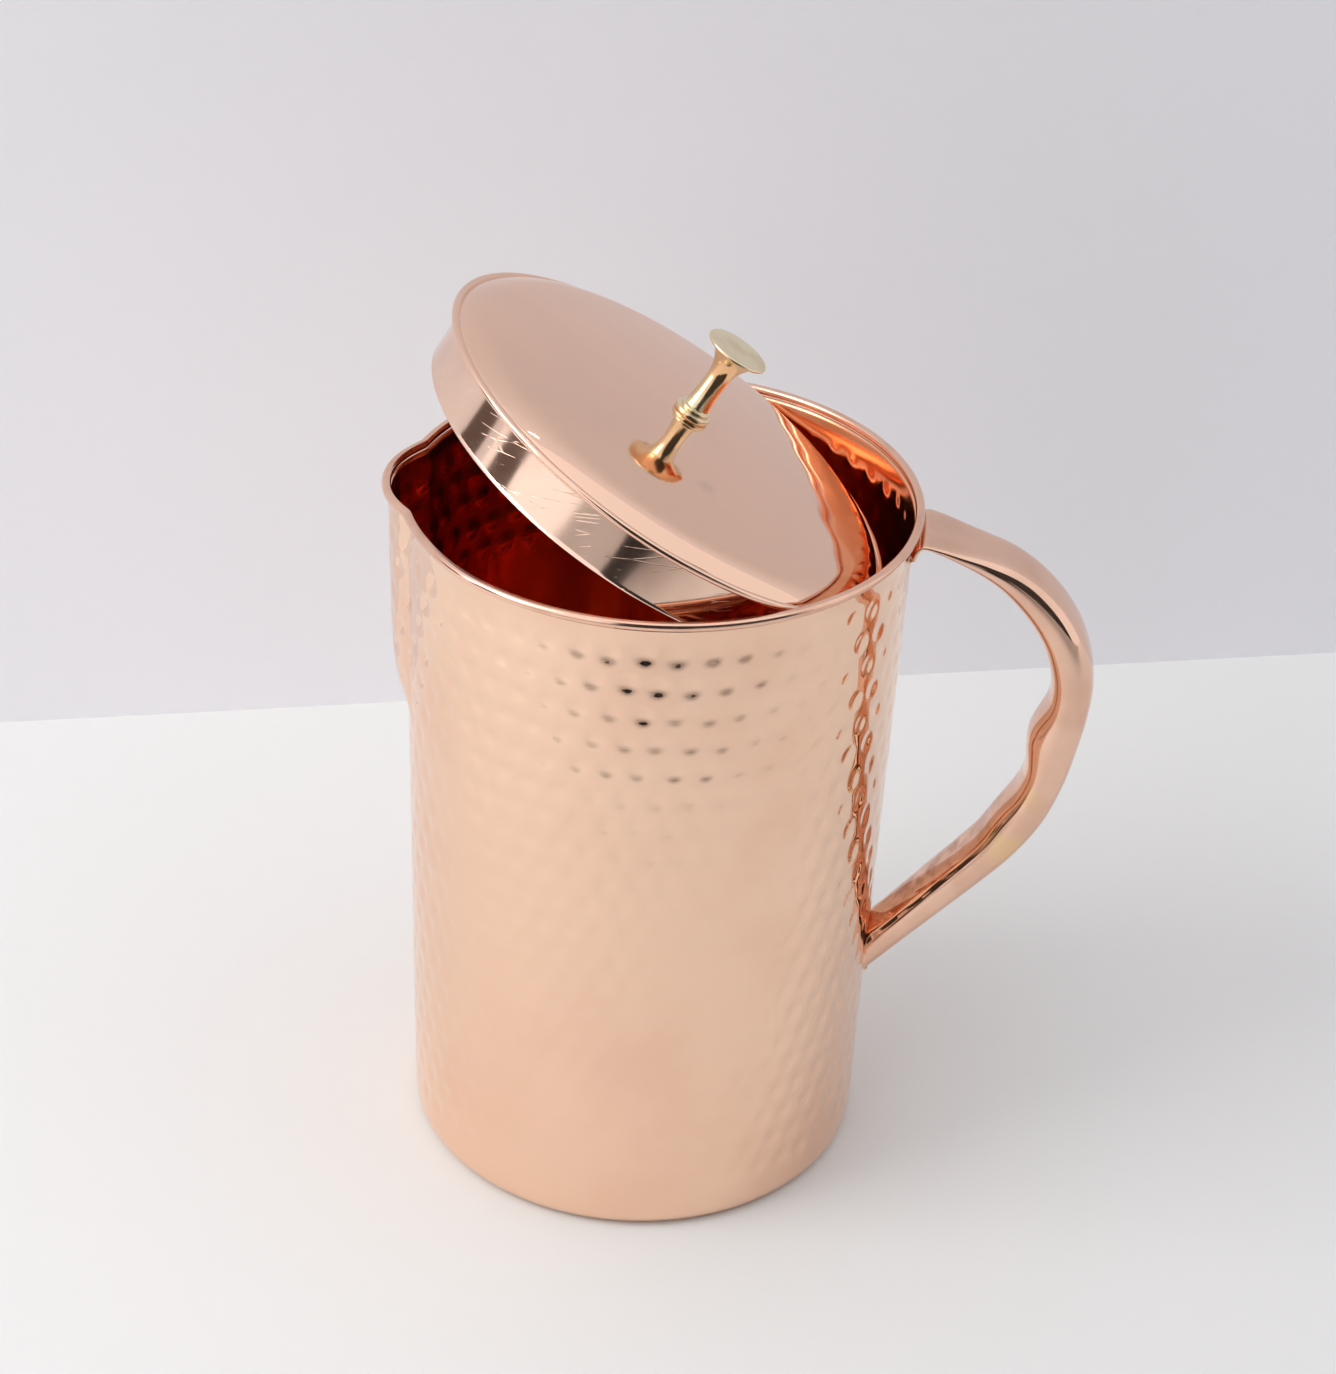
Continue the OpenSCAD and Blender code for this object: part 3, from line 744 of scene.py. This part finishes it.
def stem_r(u):
    if u < 0.35:
        return 2.7 + 0.5 * ((0.35 - u) / 0.35) ** 2
    return 2.7 + (DISC_R - 1.3 - 2.7) * ((u - 0.35) / 0.65) ** 3.2


knob_foot = ([(0, 0.01), (2, 0.0), (4.3, 0.0)] + arc(4.3, 0.3, 0.3, -90, 0, 4) + arc(4.25, 1.05, 0.35, 0, 90, 5)
             + [(3.35, 1.42)] + arc(3.5, 1.75, 0.32, -60, 0, 4) + arc(3.45, 2.1, 0.4, 0, 90, 5))
knob_stem = [(stem_r(u), STEM_LOW + u * (STEM_HIGH - STEM_LOW)) for u in np.linspace(0, 1, 40)]
knob_disc = (arc(DISC_R - 0.45, STEM_HIGH + 0.5, 0.45, -60, 60, 8)
             + [(r, KNOB_H - 0.25 * (r / DISC_R) ** 2) for r in np.linspace(DISC_R - 0.6, 0, 12)])
knob_profile = [(r, KNOB_BASE + z) for r, z in knob_foot + knob_stem + knob_disc]
turned_knob = turned("turned_knob", knob_profile, 96)
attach(turned_knob, "lid")
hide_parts("knob")

# %% [markdown]
# ## The remaining finishes
# The handle is handled and heated, so it is hazy and carries golden tints where the braze was run, and
# brown spots of painted shade low on its inner side, by the body. The lid's top is a pink satin mirror with
# a painted reflection of the knob, and its skirt a sharper one with scratches round it and across it. The
# knob is a paler, greener metal. Hidden pieces get their own plain finishes.

# %% Metals for the handle, the lid, the knob and the inner pieces
def on_lid(x, y, z):
    """A point of the level lid, in millimetres, moved to where the lid leans."""
    return tuple(lid_place @ Vector((x * MM, y * MM, z * MM)))


HEAT_GOLD = (0.84, 0.58, 0.30, 1.0)
# brown of the painted shade on the handle's lower inner side, where it faces the body
PAINTED_SHADE_BROWN = (0.42, 0.19, 0.12, 1.0)
handle_copper = metal("handle_copper", (0.86, 0.56, 0.42, 1.0), (0.72, 0.43, 0.31, 1.0), patches=60.0,
                      haze=0.6, polished=0.08, hazy=0.18, scratches=0.2,
                      spots=(((90 * MM, -8 * MM, 93 * MM), 8 * MM, 0.6, HEAT_GOLD),
                             ((95 * MM, -8 * MM, 108 * MM), 5 * MM, 0.4, HEAT_GOLD),
                             # the three brown spots below are painted shade, darkening the handle's lower inner
                             # side by the body
                             ((60 * MM, 4 * MM, 75 * MM), 15 * MM, 0.85, PAINTED_SHADE_BROWN),
                             ((69 * MM, 4 * MM, 86 * MM), 15 * MM, 0.85, PAINTED_SHADE_BROWN),
                             ((79 * MM, 4 * MM, 98 * MM), 13 * MM, 0.6, PAINTED_SHADE_BROWN)))
lid_metal = metal("lid_metal", PINK_COPPER, (0.84, 0.57, 0.44, 1.0), patches=22.0, haze=0.6, polished=0.05,
                  hazy=0.11, scratches=0.1,
                  # the darker spot in front of the knob is a painted reflection of the knob
                  spots=((on_lid(8, -30, 6), 4 * MM, 0.35, (0.62, 0.42, 0.32, 1.0)),))
band_metal = metal("band_metal", (0.91, 0.64, 0.50, 1.0), (0.76, 0.48, 0.36, 1.0), patches=50.0, haze=0.5,
                   polished=0.09, hazy=0.2, scratches=0.7, scratch_lines=420.0, stretch=(0.12, 0.12, 1.0))
knob_brass = metal("knob_brass", (0.86, 0.74, 0.50, 1.0), (0.66, 0.52, 0.30, 1.0), patches=120.0,
                   haze=0.6, polished=0.12, hazy=0.3, scratches=0.3, scratch_lines=900.0)
base_copper = metal("base_copper", (0.78, 0.38, 0.24, 1.0), (0.55, 0.24, 0.13, 1.0), patches=45.0,
                    haze=0.8, polished=0.2, hazy=0.4)
braze_metal = metal("braze_metal", (0.82, 0.62, 0.38, 1.0), (0.56, 0.36, 0.20, 1.0), patches=200.0,
                    haze=0.9, polished=0.25, hazy=0.45)
plain_steel = metal("plain_steel", (0.62, 0.61, 0.60, 1.0), (0.40, 0.38, 0.36, 1.0), patches=150.0,
                    haze=0.6, polished=0.25, hazy=0.45, scratches=0.3)
screw_brass = metal("screw_brass", (0.80, 0.66, 0.40, 1.0), (0.55, 0.42, 0.24, 1.0), patches=180.0,
                    haze=0.7, polished=0.2, hazy=0.4, scratches=0.4)

# %% Give each piece its finish
def finish_with(piece, material):
    piece.data.materials.clear()
    piece.data.materials.append(material)


for piece, material in ((grip_handle, handle_copper), (lid_dome, lid_metal), (lid_band, band_metal),
                        (turned_knob, knob_brass)):
    finish_with(piece, material)
for name, material in (("rim_wire", plain_steel), ("base_plate", base_copper), ("handle_braze", braze_metal),
                       ("knob_washer", plain_steel), ("knob_screw", screw_brass),
                       ("body_shell", outside_copper), ("rim_bead", edge_copper),
                       ("handle_tube", handle_copper), ("lid_top", lid_metal), ("lid_skirt", band_metal),
                       ("knob", knob_brass)):
    finish_with(frame["nodes"][name], material)
print(len(bpy.data.materials), "materials")

# %% [markdown]
# ## Camera
# The jug is seen from above the rim and almost square to the handle. The camera's place is given as a
# distance, a height angle and a small roll about the middle of the jug.

# %% Camera
VIEW_TURN = math.radians(5)              # the view is turned this much from looking straight along +Y
VIEW_DOWN = math.radians(31.98)
VIEW_ROLL = math.radians(2.91)
VIEW_DISTANCE = 0.8062
AIM_RIGHT, AIM_UP = 0.00554, 0.02923     # the picture's middle, from the middle of the jug
turn_view = Matrix.Rotation(VIEW_TURN, 3, "Z")
forward = Vector((0, math.cos(VIEW_DOWN), -math.sin(VIEW_DOWN)))
level_right = Vector((1, 0, 0))
level_up = level_right.cross(forward)
right = math.cos(VIEW_ROLL) * level_right + math.sin(VIEW_ROLL) * level_up
upward = -math.sin(VIEW_ROLL) * level_right + math.cos(VIEW_ROLL) * level_up
aim = Vector((0, 0, 0.09)) + AIM_RIGHT * right + AIM_UP * upward
camera = bpy.data.objects.new("camera", bpy.data.cameras.new("camera"))
bpy.context.scene.collection.objects.link(camera)
camera.data.sensor_width = 36
camera.data.lens = 83.87
camera.data.clip_start, camera.data.clip_end = 0.05, 20
axes = Matrix((turn_view @ right, turn_view @ upward, turn_view @ -forward)).transposed()
camera.matrix_world = Matrix.Translation(turn_view @ (aim - VIEW_DISTANCE * forward)) @ axes.to_4x4()
bpy.context.scene.camera = camera
print("camera at", [round(x, 3) for x in camera.matrix_world.translation])

# %% [markdown]
# ## Floor, wall and light
# Metal shows its room, so the room is part of the finish: a white table, a pale wall close behind, a
# large soft light on the left, a lamp overhead and a dark room in front. The dark cloth and cards give the
# first rows of marks, the strap and the lid's skirt their dark shapes. They are only seen in reflections.

# %% Stage pieces
def stage_plane(name, corners, material):
    """A flat stage piece from corners in the turned view's frame."""
    mesh = bpy.data.meshes.new(name)
    mesh.from_pydata([turn_view @ Vector(c) for c in corners], [], [tuple(range(len(corners)))])
    made = bpy.data.objects.new(name, mesh)
    bpy.context.scene.collection.objects.link(made)
    mesh.materials.append(material)
    return made


def matt(name, light, shade, scale, one_sided=False, painted_shade_from=None):
    """A plain matt surface with a faint cloudiness; it can be clear from behind, and can carry painted shade
    that greys it towards the front.
    """
    material = bpy.data.materials.new(name)
    material.use_nodes = True
    tree = material.node_tree
    shader = tree.nodes["Principled BSDF"]
    where = tree.nodes.new("ShaderNodeTexCoord").outputs["Object"]
    cloudy = mixed(tree, noise(tree, where, scale), light, shade)
    if painted_shade_from is not None:
        # painted shade: the colour turns grey towards the front, where the room is dark
        depth = vector_calc(tree, "DOT_PRODUCT", where, turn_view @ Vector((0, 1, 0)), out="Value")
        cloudy = mixed(tree, ramp(tree, depth, painted_shade_from - 0.30, painted_shade_from), (0.40, 0.39, 0.38, 1.0), cloudy)
    feed(tree, shader, {"Base Color": cloudy, "Roughness": 0.7})
    if one_sided:
        behind = tree.nodes.new("ShaderNodeNewGeometry").outputs["Backfacing"]
        clear = tree.nodes.new("ShaderNodeBsdfTransparent").outputs[0]
        either = node(tree, "ShaderNodeMixShader", {0: behind, 1: shader.outputs[0], 2: clear})
        feed(tree, tree.nodes["Material Output"], {"Surface": either.outputs[0]})
    return material


WALL_BEHIND = 0.195                      # distance of the wall's foot behind the jug's axis
WALL_SKEW = math.radians(11.06)          # the wall isn't quite square to the view
ROOM = 3.0
table_white = matt("table_white", (0.83, 0.83, 0.82, 1.0), (0.80, 0.80, 0.79, 1.0), 3.0, painted_shade_from=-0.26)
wall_grey = matt("wall_grey", (0.88, 0.875, 0.91, 1.0), (0.85, 0.845, 0.88, 1.0), 2.0, one_sided=True)
card_brown = matt("card_brown", (0.16, 0.12, 0.10, 1.0), (0.10, 0.07, 0.06, 1.0), 6.0)
card_dark = matt("card_dark", (0.03, 0.025, 0.025, 1.0), (0.02, 0.018, 0.018, 1.0), 5.0)
table = stage_plane("table", [(-ROOM, -ROOM, 0), (ROOM, -ROOM, 0), (ROOM, ROOM, 0), (-ROOM, ROOM, 0)],
                    table_white)
skew = Matrix.Rotation(WALL_SKEW, 3, "Z")
backdrop = stage_plane("backdrop", [skew @ Vector((x, WALL_BEHIND, z))
                                    for x, z in ((-ROOM, 0), (ROOM, 0), (ROOM, ROOM), (-ROOM, ROOM))], wall_grey)


def dark_card(name, foot, low, high, material):
    """An upright dark card over a line on the table, seen only in reflections."""
    (x0, y0), (x1, y1) = foot
    made = stage_plane(name, [(x0, y0, low), (x1, y1, low), (x1, y1, high), (x0, y0, high)], material)
    made.visible_camera = False
    made.visible_shadow = False
    return made


def around_jug(degrees, distance):
    """A place on the table in a direction counted from straight behind the jug towards the right."""
    return (distance * math.sin(math.radians(degrees)), distance * math.cos(math.radians(degrees)))


CLOTH_NEAR, CLOTH_FAR, CLOTH_HALF = -0.54, -0.66, 0.18
SIDE_FAR = 0.62
cloth = stage_plane("dark_cloth", [(-CLOTH_HALF, CLOTH_FAR, MM), (CLOTH_HALF, CLOTH_FAR, MM),
                                   (CLOTH_HALF, CLOTH_NEAR, MM), (-CLOTH_HALF, CLOTH_NEAR, MM)], card_dark)
cloth.visible_camera = False
dark_card("front_card", ((-CLOTH_HALF, CLOTH_FAR), (CLOTH_HALF, CLOTH_FAR)), 0, 0.85, card_dark)
dark_card("right_card", ((CLOTH_HALF, CLOTH_FAR), (0.95, CLOTH_NEAR)), 0.10, 0.75, card_dark)
dark_card("left_card", (around_jug(-74, SIDE_FAR), around_jug(-95, SIDE_FAR)), 0.14, 0.36, card_brown)
dark_card("corner_card", (around_jug(-104, SIDE_FAR), around_jug(-117, SIDE_FAR)), 0.10, 0.40, card_brown)


# %% Soft lights and the room's own light
def softbox(name, place, target, size, power, color=(1, 1, 1)):
    data = bpy.data.lights.new(name, "AREA")
    data.shape, data.size, data.size_y = "RECTANGLE", size[0], size[1]
    data.energy, data.color = power, color
    lamp = bpy.data.objects.new(name, data)
    bpy.context.scene.collection.objects.link(lamp)
    lamp.location = turn_view @ Vector(place)
    lamp.rotation_mode = "QUATERNION"
    lamp.rotation_quaternion = (turn_view @ (Vector(target) - Vector(place))).to_track_quat("-Z", "Y")
    return lamp


softbox("window_left", (-1.1, -0.35, 0.95), (0, 0, 0.1), (0.9, 0.9), 9.5, (1.0, 0.99, 0.97))
softbox("overhead", (-0.04, 0.34, 1.5), (0, 0, 0), (0.30, 0.30), 6.0)
world = bpy.data.worlds.new("pale_room")
bpy.context.scene.world = world
world.use_nodes = True
sky = world.node_tree
direction = node(sky, "ShaderNodeSeparateXYZ", {"Vector": sky.nodes.new("ShaderNodeTexCoord").outputs[0]})
brightness = ramp(sky, direction.outputs["X"], -0.9, 0.9, 1.24, 1.0)
background = sky.nodes["Background"]
background.inputs["Color"].default_value = (0.97, 0.975, 1.0, 1.0)
feed(sky, background, {"Strength": brightness})
bpy.context.scene.view_settings.view_transform = "Standard"
bpy.context.scene.cycles.max_bounces = 14        # light has to bounce many times inside the jug
bpy.context.scene.cycles.glossy_bounces = 12
